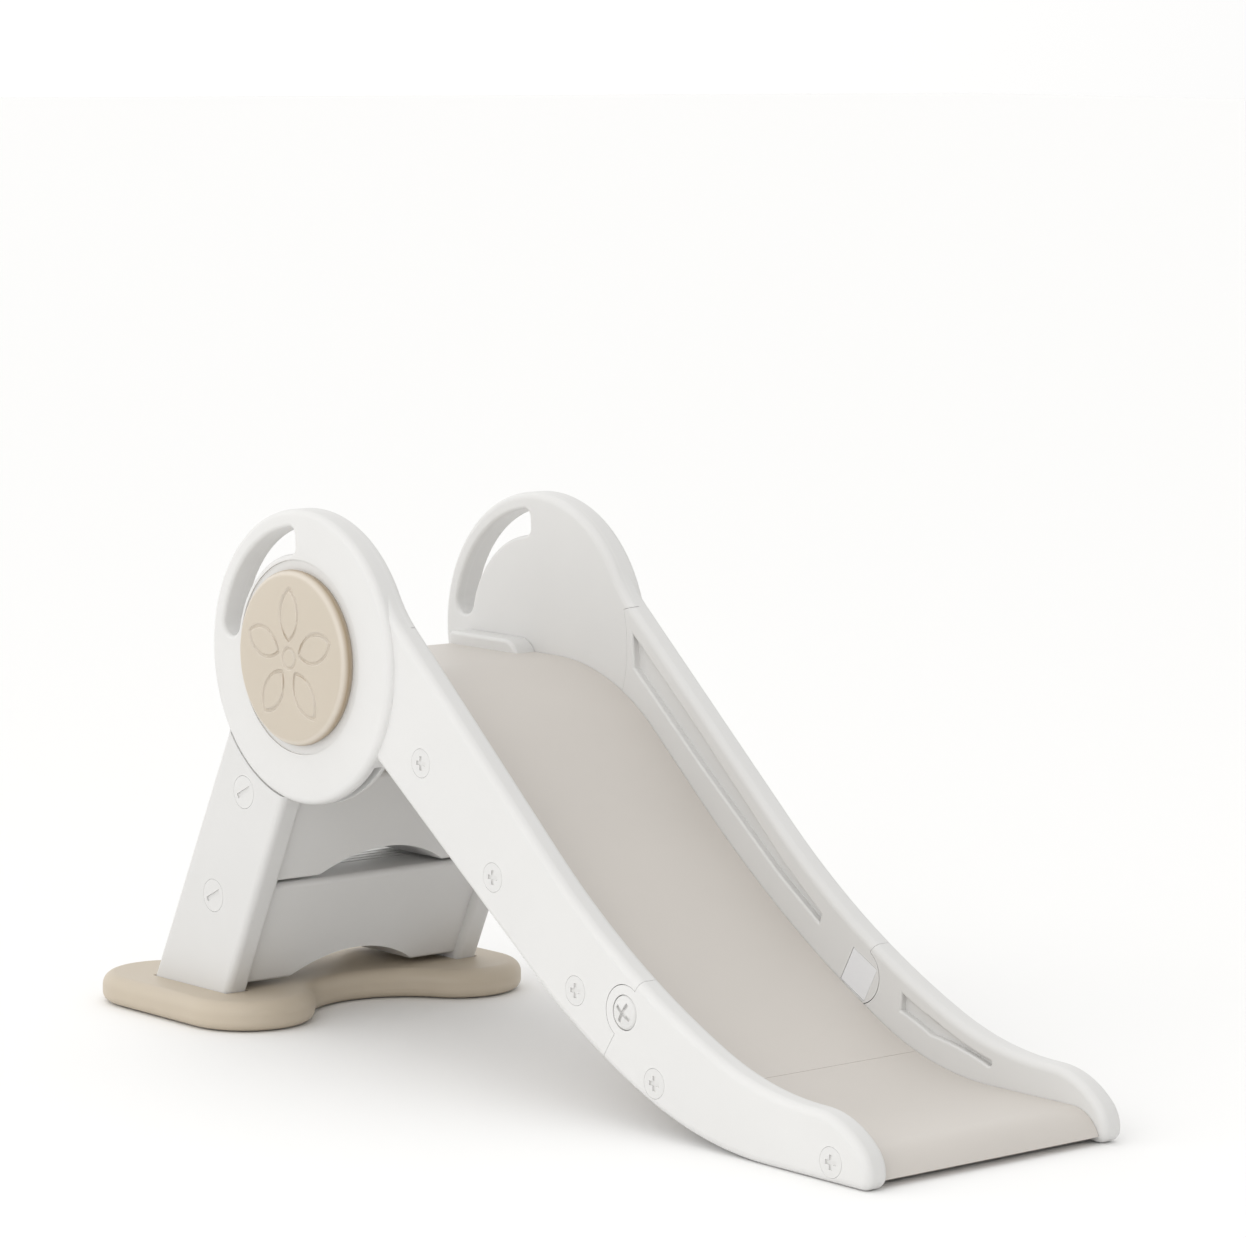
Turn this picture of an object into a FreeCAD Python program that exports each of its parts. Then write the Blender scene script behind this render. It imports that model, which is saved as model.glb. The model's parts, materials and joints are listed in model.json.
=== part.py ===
import FreeCAD, Part
import math
import os

import Sketcher

# A folding toddler slide.  Two side panels carry the chute: an upper pair, each with a round head
# and a curved hand slot, and a lower pair, bolted on with a half-lap joint.  A ladder of two legs,
# two steps and a broad base swings on pivot pins inside the two round heads.
# X runs from the ladder to the exit, Y across the slide, Z up.  Each body is drawn about the pivot
# axis of the heads and placed at the pivot, so outlines read as distances from that axis.
# A "depth" is measured inwards from the outer face of a round head.

SIZES = {
    # frame
    "pivot_x": -278.5,
    "pivot_z": 444.5,
    "half_width": 190,
    "floor_drop": 444.5,
    # layers through one side, as depths
    "depth_disc": 0,
    "depth_rail": 6,
    "depth_gap_outer": 12,
    "depth_gap_inner": 23,
    "depth_inner": 35,
    "depth_lap": 20.5,
    "depth_disc_root": 15,
    # round head
    "head_radius": 168,
    "cover_gap": 0.4,
    "ear_angle": 15,
    "ear_gap": 0.15,
    "disc_fillet": 8,
    "rail_fillet": 9,
    "tongue_pocket_radius": 105,
    "sweep_start_angle": -145.6,
    "sweep_end_angle": -42,
    "slot_inner_radius": 117.5,
    "slot_outer_radius": 148,
    "slot_fillet": 5,
    "cover_slot_fillet": 4.5,
    "slot_corner_radius": 9,
    "slot_upper_angle": 94,
    "slot_lower_angle": 168,
    "seat_radius": 111,
    "seat_depth": 2,
    "peg_radius": 5,
    "peg_circle_radius": 133,
    "peg_length": 8,
    # side rail outline
    "neck_fillet_radius": 150,
    "top_bend_x": 424,
    "top_bend_z": -168,
    "top_sweep_x": 700,
    "top_sweep_z": -341,
    "nose_top_x": 852,
    "nose_top_z": -372,
    "exit_x": 937,
    "nose_low_z": -430,
    "under_bend_x": 414,
    "under_bend_z": -307,
    "under_sweep_x": 604,
    "under_sweep_z": -411,
    # half-lap joint of upper and lower panel
    "joint_x": 562,
    "joint_z": -320,
    "joint_slope": -33,
    "outer_lobe_radius": 30,
    "inner_lobe_radius": 32.5,
    "seam_gap": 0.5,
    "knob_radius": 19,
    "knob_seat_depth": 4,
    "knob_shank_radius": 8,
    "knob_end_depth": 33,
    "knob_recess_depth": 6.5,
    "plate_side": 42,
    "plate_seat_depth": 7,
    "plate_turn": -28,
    # recesses in the inner faces of the rails
    "upper_recess_depth": 9,
    "lower_recess_depth": 8,
    "recess_fillet": 3,
    # chute
    "bed_thickness": 20,
    "bed_side_gap": 0.6,
    "platform_back_x": -125,
    "platform_z": -20,
    "platform_end_x": 40,
    "chute_start_x": 215,
    "chute_start_z": -86,
    "chute_line_end_x": 300,
    "chute_sweep_x": 600,
    "chute_sweep_z": -367,
    "trough_z": -409,
    "lip_start_x": 890,
    "lip_radius": 42,
    "lip_clearance": 8.5,
    "bed_seam_x": 655,
    "flange_top_z": -5,
    "flange_width": 28,
    "flange_end_x": -22,
    "flange_foot_x": 2,
    "flange_fillet": 5,
    "flange_peg_radius": 4,
    "flange_peg_length": 8,
    "apron_depth": 42,
    # chute screws
    "screw_head_radius": 16,
    "screw_head_thick": 4.5,
    "screw_shank_radius": 4,
    "screw_grip": 30,
    "recess_depth": 1.8,
    "screw_a_x": 215,
    "screw_a_z": -96,
    "screw_b_x": 341,
    "screw_b_z": -206,
    "screw_c_x": 481,
    "screw_c_z": -309,
    "screw_d_x": 610,
    "screw_d_z": -388,
    "screw_e_x": 881,
    "screw_e_z": -422.5,
    # medallion cap
    "cap_radius": 100,
    "cap_rise": 14.5,
    "cap_flat_radius": 55,
    "cap_wall": 3,
    "cap_rim_radius": 9,
    "cap_tuck": 2,
    "cap_waist_rise": 4,
    # pivot
    "pin_radius": 8,
    "pin_flange_radius": 18,
    "pin_flange_thick": 4,
    "pin_end_depth": 31,
    "bush_radius": 12,
    "bush_clearance": 0.06,
    "washer_radius": 20,
    "nut_flats": 24,
    "nut_top_depth": -7,
    "nut_base_depth": -0.5,
    # ladder
    "leg_outer_depth": 2.5,
    "leg_inner_depth": 34,
    "tongue_outer_depth": 12.5,
    "tongue_inner_depth": 22.5,
    "tongue_radius": 100,
    "shoulder_radius": 168.4,
    "neck_start_angle": -145,
    "neck_end_angle": -102,
    "leg_back_top_x": -139,
    "leg_back_top_z": -96,
    "leg_back_low_x": -289,
    "leg_back_low_z": -409,
    "leg_front_top_x": -33,
    "leg_front_top_z": -167,
    "leg_front_low_x": -140,
    "leg_front_low_z": -402,
    "leg_end_z": -430,
    "leg_fillet": 8,
    "cover_radius": 19,
    "cover_thick": 4,
    "coin_slot_turn": 27,
    "upper_step_x": -109,
    "upper_step_z": -168,
    "lower_step_x": -169,
    "lower_step_z": -297,
    "tread_rise": 20,
    "tread_nose": 24,
    "step_drop": 105,
    "arch_rise": 27,
    "arch_half_width": 92,
    "step_fillet": 6,
    "bolt_radius": 4,
    "bolt_head_radius": 9,
    "bolt_head_thick": 4,
    "bolt_grip": 40,
    # base
    "base_top_z": -409.5,
    "base_bottom_z": -443.5,
    "toe_x": -147,
    "heel_x": -300,
    "foot_y": -156,
    "foot_radius": 80,
    "waist_front_x": -150,
    "base_top_fillet": 15,
    "base_bottom_fillet": 11,
    "base_screw_radius": 3.5,
    "base_screw_head_radius": 8,
    "base_screw_seat_depth": 5,
    "base_screw_top_z": -400,
    "base_screw_front_x": -180,
    "base_screw_back_x": -260,
    "pad_radius": 18,
    "pad_thick": 3,
}

doc = FreeCAD.newDocument("toddler_slide")
sheet = doc.addObject("Spreadsheet::Sheet", "Sizes")
for row, (alias, value) in enumerate(SIZES.items(), start=1):
    sheet.set("A%d" % row, alias)
    sheet.set("B%d" % row, str(value))
    sheet.setAlias("B%d" % row, alias)
doc.recompute()

NODES = []
LEFT = -1
RIGHT = 1
SIDE_NAME = {LEFT: "left", RIGHT: "right"}


# ---------------------------------------------------------------- plane geometry

def value_of(entry):
    """The number behind a sheet alias, or the number itself."""
    return SIZES[entry] if isinstance(entry, str) else entry


def point(name):
    """The outline point whose coordinates are the cells NAME_x and NAME_z."""
    return (name + "_x", name + "_z")


def polar(radius, degrees):
    """A point at a radius and an angle about the pivot axis."""
    angle = math.radians(degrees)
    return (radius * math.cos(angle), radius * math.sin(angle))


def heading(start, end):
    """The direction in degrees from one point to another."""
    (x0, z0), (x1, z1) = [[value_of(c) for c in p[:2]] for p in (start, end)]
    return math.degrees(math.atan2(z1 - z0, x1 - x0))


def turned_heading(start, start_heading, end):
    """The direction at the end of the arc that leaves start along start_heading."""
    return 2 * heading(start, end) - start_heading


def moved(origin, degrees, distance):
    """A point at a distance from another, in a direction."""
    dx, dz = polar(distance, degrees)
    return (value_of(origin[0]) + dx, value_of(origin[1]) + dz)


def arc_geometry(start, end, radius):
    """The circular arc between two points; a positive radius turns to the left."""
    chord = math.hypot(end[0] - start[0], end[1] - start[1])
    reach = math.sqrt(max(radius * radius - chord * chord / 4, 0))
    side = math.copysign(1, radius)
    nx = -(end[1] - start[1]) / chord * side
    nz = (end[0] - start[0]) / chord * side
    cx = (start[0] + end[0]) / 2 + nx * reach
    cz = (start[1] + end[1]) / 2 + nz * reach
    first, last = (start, end) if radius > 0 else (end, start)
    a0 = math.atan2(first[1] - cz, first[0] - cx)
    a1 = math.atan2(last[1] - cz, last[0] - cx)
    if a1 <= a0:
        a1 += 2 * math.pi
    circle = Part.Circle(FreeCAD.Vector(cx, cz, 0), FreeCAD.Vector(0, 0, 1), abs(radius))
    return Part.ArcOfCircle(circle, a0, a1)


def smooth_radius(start, start_heading, end):
    """The signed radius of the arc that leaves start along start_heading and reaches end."""
    chord = math.hypot(end[0] - start[0], end[1] - start[1])
    half_turn = math.radians(heading(start, end) - start_heading)
    half_turn = math.atan2(math.sin(half_turn), math.cos(half_turn))
    return chord / (2 * math.sin(half_turn))


# ---------------------------------------------------------------- bodies, sketches and features

def new_body(label, at=None, node=True):
    """A PartDesign body whose origin is the pivot axis, or a named point of the outline."""
    body = doc.addObject("PartDesign::Body", label)
    body.Label = label
    x_terms = ["Sizes.pivot_x"] + (["Sizes.%s_x" % at] if at else [])
    z_terms = ["Sizes.pivot_z"] + (["Sizes.%s_z" % at] if at else [])
    body.setExpression("Placement.Base.x", " + ".join(x_terms))
    body.setExpression("Placement.Base.z", " + ".join(z_terms))
    if node:
        NODES.append(body)
    return body


def new_sketch(body, plane, offset="0"):
    """A sketch on one of the body's own origin planes, offset by an expression."""
    sketch = body.newObject("Sketcher::SketchObject", body.Name + "_sketch")
    support = [f for f in body.Origin.OriginFeatures if f.Role == plane + "_Plane"][0]
    sketch.AttachmentSupport = [(support, "")]
    sketch.MapMode = "FlatFace"
    sketch.setExpression("AttachmentOffset.Base.z", offset)
    return sketch


def fix_point(sketch, geometry, position, x, y):
    """Hold a sketch point at coordinates, bound to the sheet where they are aliases."""
    for kind, entry in (("DistanceX", x), ("DistanceY", y)):
        number = value_of(entry)
        index = sketch.addConstraint(
            Sketcher.Constraint(kind, -1, 1, geometry, position, number))
        if isinstance(entry, str):
            sketch.setExpression("Constraints[%d]" % index, "Sizes." + entry)


def draw_outline(sketch, corners):
    """Draw a closed outline.

    Each corner is (x, y), reached by a straight edge; (x, y, radius), reached by an arc; or
    (x, y, "smooth"), reached by an arc that leaves the last edge without a kink.
    """
    points = [(value_of(c[0]), value_of(c[1])) for c in corners]
    direction = 0
    ends = []
    for i, corner in enumerate(corners):
        start = points[i - 1]
        end = points[i]
        shape = corner[2] if len(corner) > 2 else None
        if shape is None:
            edge = Part.LineSegment(FreeCAD.Vector(*start, 0), FreeCAD.Vector(*end, 0))
            direction = heading(start, end)
            end_position = 2
        else:
            smooth = shape == "smooth"
            radius = smooth_radius(start, direction, end) if smooth else value_of(shape)
            edge = arc_geometry(start, end, radius)
            half_turn = math.degrees(math.asin(min(1, math.dist(start, end) / 2 / abs(radius))))
            direction = heading(start, end) + math.copysign(half_turn, radius)
            end_position = 2 if radius > 0 else 1
        geometry = sketch.addGeometry(edge, False)
        ends.append((geometry, end_position))
        if shape is not None:
            sketch.addConstraint(Sketcher.Constraint("Radius", geometry, abs(radius)))
    for i, (geometry, position) in enumerate(ends):
        follower, follower_end = ends[(i + 1) % len(ends)]
        sketch.addConstraint(Sketcher.Constraint(
            "Coincident", geometry, position, follower, 3 - follower_end))
        fix_point(sketch, geometry, position, corners[i][0], corners[i][1])


def draw_circles(sketch, radius, centres):
    """Draw circles of one radius, bound to the sheet where it is an alias."""
    for x, y in centres:
        middle = FreeCAD.Vector(value_of(x), value_of(y), 0)
        circle = Part.Circle(middle, FreeCAD.Vector(0, 0, 1), value_of(radius))
        geometry = sketch.addGeometry(circle, False)
        fix_point(sketch, geometry, 3, x, y)
        index = sketch.addConstraint(Sketcher.Constraint("Radius", geometry, value_of(radius)))
        if isinstance(radius, str):
            sketch.setExpression("Constraints[%d]" % index, "Sizes." + radius)


def side_sketch(body, side, depth):
    """A sketch in an upright plane at a depth, an alias or an expression of aliases."""
    sign = "" if side == LEFT else "-"
    return new_sketch(body, "XZ", "%s(Sizes.half_width - (%s))" % (sign, depth))


def add_pad(body, sketch, length, reverse):
    """Pad a sketch by a length expression."""
    pad = body.newObject("PartDesign::Pad", body.Name + "_pad")
    pad.Profile = sketch
    pad.setExpression("Length", length)
    pad.Reversed = reverse
    doc.recompute()
    return pad


def add_pocket(body, sketch, length, reverse):
    """Pocket a sketch by a length expression, and make sure that it removed something."""
    before = body.Shape.Volume
    pocket = body.newObject("PartDesign::Pocket", body.Name + "_pocket")
    pocket.Profile = sketch
    pocket.setExpression("Length", length)
    pocket.Reversed = reverse
    doc.recompute()
    if body.Shape.Volume > before - 1:
        raise RuntimeError("a pocket cuts nothing in " + body.Label)
    return pocket


def pad_between(body, side, start, end, corners=None, radius=None, centres=None):
    """Pad an outline or circles from one depth to a greater one."""
    sketch = side_sketch(body, side, start)
    if corners:
        draw_outline(sketch, corners)
    else:
        draw_circles(sketch, radius, centres)
    return add_pad(body, sketch, "%s - (%s)" % (end, start), side == LEFT)


def pocket_between(body, side, start, end, corners=None, radius=None, centres=None):
    """Pocket an outline or circles from one depth to a greater one."""
    sketch = side_sketch(body, side, start)
    if corners:
        draw_outline(sketch, corners)
    else:
        draw_circles(sketch, radius, centres)
    return add_pocket(body, sketch, "%s - (%s)" % (end, start), side == RIGHT)


def revolve(body, corners):
    """Turn an outline of (radius, y) corners about the body's Y axis."""
    sketch = new_sketch(body, "XY")
    draw_outline(sketch, corners)
    turned = body.newObject("PartDesign::Revolution", body.Name + "_turned")
    turned.Profile = sketch
    turned.ReferenceAxis = (sketch, ["V_Axis"])
    turned.Angle = 360
    doc.recompute()
    return turned


def fillet_edges(body, radius, wanted):
    """Round the edges of the body for which wanted(box, edge) is true."""
    tip = body.Tip
    names = []
    for number, edge in enumerate(tip.Shape.Edges, start=1):
        if wanted(edge.BoundBox, edge):
            names.append("Edge%d" % number)
    if not names:
        raise RuntimeError("no edge to round in " + body.Label)
    rounded = body.newObject("PartDesign::Fillet", body.Name + "_fillet")
    rounded.Base = (tip, names)
    rounded.setExpression("Radius", "Sizes." + radius)
    doc.recompute()
    if "Invalid" in rounded.State or rounded.Shape.isNull():
        raise RuntimeError("edges cannot be rounded in " + body.Label)
    return rounded


def on_plane(low, high, position, tolerance=0.01):
    """Whether a span lies in one plane."""
    return abs(low - position) < tolerance and abs(high - position) < tolerance


def depth_to_y(side, depth):
    """The Y coordinate of a depth."""
    return side * (SIZES["half_width"] - value_of(depth))


# ---------------------------------------------------------------- side panels

def neck():
    """The neck fillet: the angle where it leaves the head, and its foot on the rail's top edge.

    The top edge is two arcs from the nose, then a straight run that this fillet ends.
    """
    sweep = turned_heading(point("nose_top"), 180, point("top_sweep"))
    climb = turned_heading(point("top_sweep"), sweep, point("top_bend"))
    normal = climb - 90
    across = polar(1, normal)
    line_distance = SIZES["top_bend_x"] * across[0] + SIZES["top_bend_z"] * across[1]
    head = SIZES["head_radius"]
    radius = SIZES["neck_fillet_radius"]
    lean = math.degrees(math.acos((line_distance + radius) / (head + radius)))
    angle = normal - lean
    centre = polar(head + radius, angle)
    return angle, moved(centre, normal + 180, radius)


def rail_outline():
    """The outline of a whole side: the round head, the rail and the exit nose."""
    floor = -SIZES["floor_drop"]
    head = SIZES["head_radius"]

    # underside: a straight run, then two arcs that settle on the floor
    under_joint = polar(head, -37.6)
    under_heading = heading(under_joint, point("under_bend"))
    settle = turned_heading(point("under_bend"), under_heading, point("under_sweep"))
    drop = floor - SIZES["under_sweep_z"]
    landing_x = SIZES["under_sweep_x"] + drop / math.tan(math.radians(settle / 2))

    # nose: two arcs that meet at 45 degrees, over a rounded toe
    rise = SIZES["nose_low_z"] - floor
    width = SIZES["exit_x"] - SIZES["nose_top_x"]
    height = SIZES["nose_top_z"] - SIZES["nose_low_z"]
    cos, sin = polar(1, 22.5)
    upper_chord = (width * cos - height * sin) / (cos * cos - sin * sin)
    nose_middle = moved(point("nose_top"), -22.5, upper_chord)

    neck_angle, neck_foot = neck()

    return [
        under_joint + ("head_radius",),
        point("under_bend"),
        point("under_sweep") + ("smooth",),
        (landing_x, floor, "smooth"),
        (SIZES["exit_x"] - rise, floor),
        ("exit_x", "nose_low_z", "smooth"),
        nose_middle + ("smooth",),
        point("nose_top") + ("smooth",),
        point("top_sweep") + ("smooth",),
        point("top_bend") + ("smooth",),
        neck_foot,
        polar(head, neck_angle) + ("smooth",),
        polar(head, 110) + ("head_radius",),
        polar(head, 210) + ("head_radius",),
    ]


def rail_blank(body, side):
    """The rail and head plate before it is divided, with rounded long edges."""
    pad_between(body, side, "Sizes.depth_rail", "Sizes.depth_inner", corners=rail_outline())
    for depth in ("depth_rail", "depth_inner"):
        face = depth_to_y(side, depth)
        fillet_edges(body, "rail_fillet", lambda box, edge: on_plane(box.YMin, box.YMax, face))


def joint_region(side_of_seam, radius, lobe, gap):
    """The area on one side of the half-lap seam, plus or minus the round lobe.

    side_of_seam is +1 for the exit side and -1 for the head side.  lobe is the side that the
    round lobe bulges towards.
    """
    joint = point("joint")
    along = SIZES["joint_slope"]
    across = along + 90
    reach = 300
    length = 950
    edge = moved(joint, along, side_of_seam * gap)
    top = moved(edge, across, reach)
    low = moved(edge, across, -reach)
    lobe_top = moved(edge, across, radius)
    lobe_tip = moved(edge, along, lobe * radius)
    lobe_low = moved(edge, across, -radius)
    turn = -radius * lobe
    return [
        top,
        lobe_top,
        lobe_tip + (turn,),
        lobe_low + (turn,),
        low,
        moved(low, along, side_of_seam * length),
        moved(top, along, side_of_seam * length),
    ]


def arc_band(inner, outer, start, end):
    """A ring sector about the pivot axis, split so that no arc is too long."""
    middle = (start + end) / 2
    return [
        polar(inner, start) + (-inner,),
        polar(outer, start),
        polar(outer, middle) + (outer,),
        polar(outer, end) + (outer,),
        polar(inner, end),
        polar(inner, middle) + (-inner,),
    ]


def hand_slot():
    """The curved hand slot: square at its upper end with soft corners, round at its lower end."""
    inner = SIZES["slot_inner_radius"]
    outer = SIZES["slot_outer_radius"]
    corner = SIZES["slot_corner_radius"]
    upper = SIZES["slot_upper_angle"]
    lower = SIZES["slot_lower_angle"]
    middle = (upper + lower) / 2
    half = (outer - inner) / 2
    inner_turn = math.asin(corner / (inner + corner))
    outer_turn = math.asin(corner / (outer - corner))
    tip = moved(polar(inner + half, lower), lower + 90, half)
    return [
        polar(inner, upper + math.degrees(inner_turn)) + (-inner,),
        polar((inner + corner) * math.cos(inner_turn), upper) + (corner,),
        polar((outer - corner) * math.cos(outer_turn), upper),
        polar(outer, upper + math.degrees(outer_turn)) + (corner,),
        polar(outer, middle) + (outer,),
        polar(outer, lower) + (outer,),
        tip + (half,),
        polar(inner, lower) + (half,),
        polar(inner, middle) + (-inner,),
    ]


def upper_recess():
    """The long recess in the inner face of the upper rail, which narrows towards the joint."""
    return [
        (180, -20),
        (300, -122),
        (430, -226),
        (497, -272),
        (500, -262),
        (440, -215),
        (300, -88),
        (177, 18),
    ]


def lower_recess():
    """The curved wedge-shaped recess in the inner face of the lower rail."""
    return [
        (628, -350),
        (676, -369, -400),
        (762, -388, -400),
        (768, -383, 4),
        (702, -362, -400),
        (630, -331, -600),
    ]


def cut_recess(body, side, depth_alias, corners):
    """Cut a recess into the inner face and soften its rim."""
    pocket_between(body, side, "Sizes.depth_inner - Sizes." + depth_alias, "Sizes.depth_inner",
                   corners=corners)
    face = depth_to_y(side, "depth_inner")

    def on_rim(box, edge):
        if not on_plane(box.YMin, box.YMax, face):
            return False
        ends = [(v.X, v.Z) for v in edge.Vertexes]
        return all(min(math.dist(e, c[:2]) for c in corners) < 0.1 for e in ends)

    fillet_edges(body, "recess_fillet", on_rim)


def seat_screws(body, side, names):
    """Counterbore and drill a rail for the chute screws."""
    centres = [point("screw_" + name) for name in names]
    seat = SIZES["screw_head_radius"] + 0.35
    head_floor = "Sizes.depth_rail + Sizes.screw_head_thick"
    pocket_between(body, side, "Sizes.depth_rail", head_floor, radius=seat, centres=centres)
    pocket_between(body, side, head_floor, "Sizes.depth_inner",
                   radius="screw_shank_radius", centres=centres)


def upper_panel(side):
    """The upper side panel: rail and round head in one, hollowed for the cover and the leg."""
    body = new_body("upper_panel_" + SIDE_NAME[side])
    rail_blank(body, side)
    cut_recess(body, side, "upper_recess_depth", upper_recess())

    pivot = [(0, 0)]
    pad_between(body, side, "Sizes.depth_disc", "Sizes.depth_disc_root",
                radius="head_radius", centres=pivot)
    disc_face = depth_to_y(side, "depth_disc")
    fillet_edges(body, "disc_fillet", lambda box, edge: on_plane(box.YMin, box.YMax, disc_face))

    seat = cover_region(SIZES["head_radius"] + SIZES["cover_gap"], SIZES["ear_gap"])
    pocket_between(body, side, "Sizes.depth_gap_inner", "Sizes.depth_inner", corners=seat)
    pocket_between(body, side, "Sizes.depth_gap_outer", "Sizes.depth_gap_inner",
                   radius="tongue_pocket_radius", centres=pivot)
    sweep = arc_band(SIZES["tongue_pocket_radius"] - 10, SIZES["head_radius"] + 10,
                     SIZES["sweep_start_angle"], SIZES["sweep_end_angle"])
    pocket_between(body, side, "Sizes.depth_gap_outer", "Sizes.depth_gap_inner", corners=sweep)
    pocket_between(body, side, "Sizes.depth_gap_inner - Sizes.peg_length", "Sizes.depth_gap_inner",
                   radius="peg_radius", centres=peg_centres())

    pocket_between(body, side, "Sizes.depth_disc", "Sizes.depth_gap_inner", corners=hand_slot())
    round_slot(body, side, "depth_disc")
    pocket_between(body, side, "Sizes.depth_disc", "Sizes.seat_depth",
                   radius="seat_radius", centres=pivot)
    pocket_between(body, side, "Sizes.seat_depth", "Sizes.depth_gap_outer",
                   radius="pin_radius", centres=pivot)

    gap = SIZES["seam_gap"] / 2
    joint = [point("joint")]
    outer_cut = joint_region(1, SIZES["outer_lobe_radius"] + gap, -1, -gap)
    inner_cut = joint_region(1, SIZES["inner_lobe_radius"] - gap, 1, -gap)
    pocket_between(body, side, "Sizes.depth_rail", "Sizes.depth_lap", corners=outer_cut)
    pocket_between(body, side, "Sizes.depth_lap", "Sizes.depth_inner", corners=inner_cut)
    pocket_between(body, side, "Sizes.depth_lap", "Sizes.depth_inner",
                   radius="knob_shank_radius", centres=joint)
    pocket_between(body, side, "Sizes.depth_inner - Sizes.plate_seat_depth", "Sizes.depth_inner",
                   corners=square_outline(SIZES["plate_side"] + 1.2, point("joint")))
    seat_screws(body, side, "abc")
    return body


def lower_panel(side):
    """The lower side panel, from the half-lap joint to the rounded exit nose."""
    body = new_body("lower_panel_" + SIDE_NAME[side])
    rail_blank(body, side)
    cut_recess(body, side, "lower_recess_depth", lower_recess())
    gap = SIZES["seam_gap"] / 2
    joint = [point("joint")]
    outer_cut = joint_region(-1, SIZES["outer_lobe_radius"] - gap, -1, -gap)
    inner_cut = joint_region(-1, SIZES["inner_lobe_radius"] + gap, 1, -gap)
    pocket_between(body, side, "Sizes.depth_rail", "Sizes.depth_lap", corners=outer_cut)
    pocket_between(body, side, "Sizes.depth_lap", "Sizes.depth_inner", corners=inner_cut)
    knob_floor = "Sizes.depth_rail + Sizes.knob_seat_depth"
    pocket_between(body, side, "Sizes.depth_rail", knob_floor,
                   radius=SIZES["knob_radius"] + 0.35, centres=joint)
    pocket_between(body, side, knob_floor, "Sizes.depth_lap",
                   radius="knob_shank_radius", centres=joint)
    seat_screws(body, side, "de")
    return body


def cover_region(radius, gap):
    """The area of the inner cover: the head's circle, with an ear that fills the neck's corner."""
    neck_angle = neck()[0]
    start = neck_angle - SIZES["ear_angle"] - gap
    end = neck_angle + 6
    ear = radius + 30
    return [
        polar(radius, start) + (radius,),
        polar(ear, start),
        polar(ear, end) + (ear,),
        polar(radius, end),
        polar(radius, end + 110) + (radius,),
        polar(radius, end + 220) + (radius,),
    ]


def peg_centres():
    """Where the cover's moulded pegs plug into the solid part of the head."""
    return [polar(SIZES["peg_circle_radius"], angle) for angle in (-20, 30, 75, 195)]


def round_slot(body, side, depth_alias, radius="slot_fillet"):
    """Round the rim of the hand slot where it meets a face."""
    face = depth_to_y(side, depth_alias)
    inner = SIZES["slot_inner_radius"] - 1
    outer = SIZES["slot_outer_radius"] + 1

    def on_rim(box, edge):
        radii = [math.hypot(v.X, v.Z) for v in edge.Vertexes]
        left_of_pivot = all(v.X < 0 for v in edge.Vertexes)
        return (on_plane(box.YMin, box.YMax, face) and left_of_pivot
                and all(inner < r < outer for r in radii))

    fillet_edges(body, radius, on_rim)


def square_outline(side_length, centre):
    """A square turned to lie along the rail."""
    reach = side_length / math.sqrt(2)
    return [moved(centre, SIZES["plate_turn"] + 45 + 90 * i, reach) for i in range(4)]


def head_cover(side):
    """The inner cover of the round head, flush with the inner face of the rail."""
    body = new_body("head_cover_" + SIDE_NAME[side])
    pivot = [(0, 0)]
    pad_between(body, side, "Sizes.depth_gap_inner", "Sizes.depth_inner", corners=rail_outline())
    face = depth_to_y(side, "depth_inner")
    fillet_edges(body, "rail_fillet", lambda box, edge: on_plane(box.YMin, box.YMax, face))
    sketch = side_sketch(body, side, "Sizes.depth_gap_inner")
    draw_outline(sketch, cover_region(SIZES["head_radius"], 0))
    draw_circles(sketch, 1500, pivot)
    add_pocket(body, sketch, "Sizes.depth_inner - Sizes.depth_gap_inner", side == RIGHT)
    pocket_between(body, side, "Sizes.depth_gap_inner", "Sizes.depth_inner", corners=hand_slot())
    round_slot(body, side, "depth_inner", "cover_slot_fillet")
    flange_floor = "Sizes.depth_gap_inner + Sizes.pin_flange_thick"
    pocket_between(body, side, "Sizes.depth_gap_inner", flange_floor,
                   radius="pin_flange_radius", centres=pivot)
    pocket_between(body, side, flange_floor, "Sizes.pin_end_depth",
                   radius="pin_radius", centres=pivot)
    pad_between(body, side, "Sizes.depth_gap_inner - Sizes.peg_length", "Sizes.depth_gap_inner",
                radius="peg_radius", centres=peg_centres())
    return body


# ---------------------------------------------------------------- chute

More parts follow.
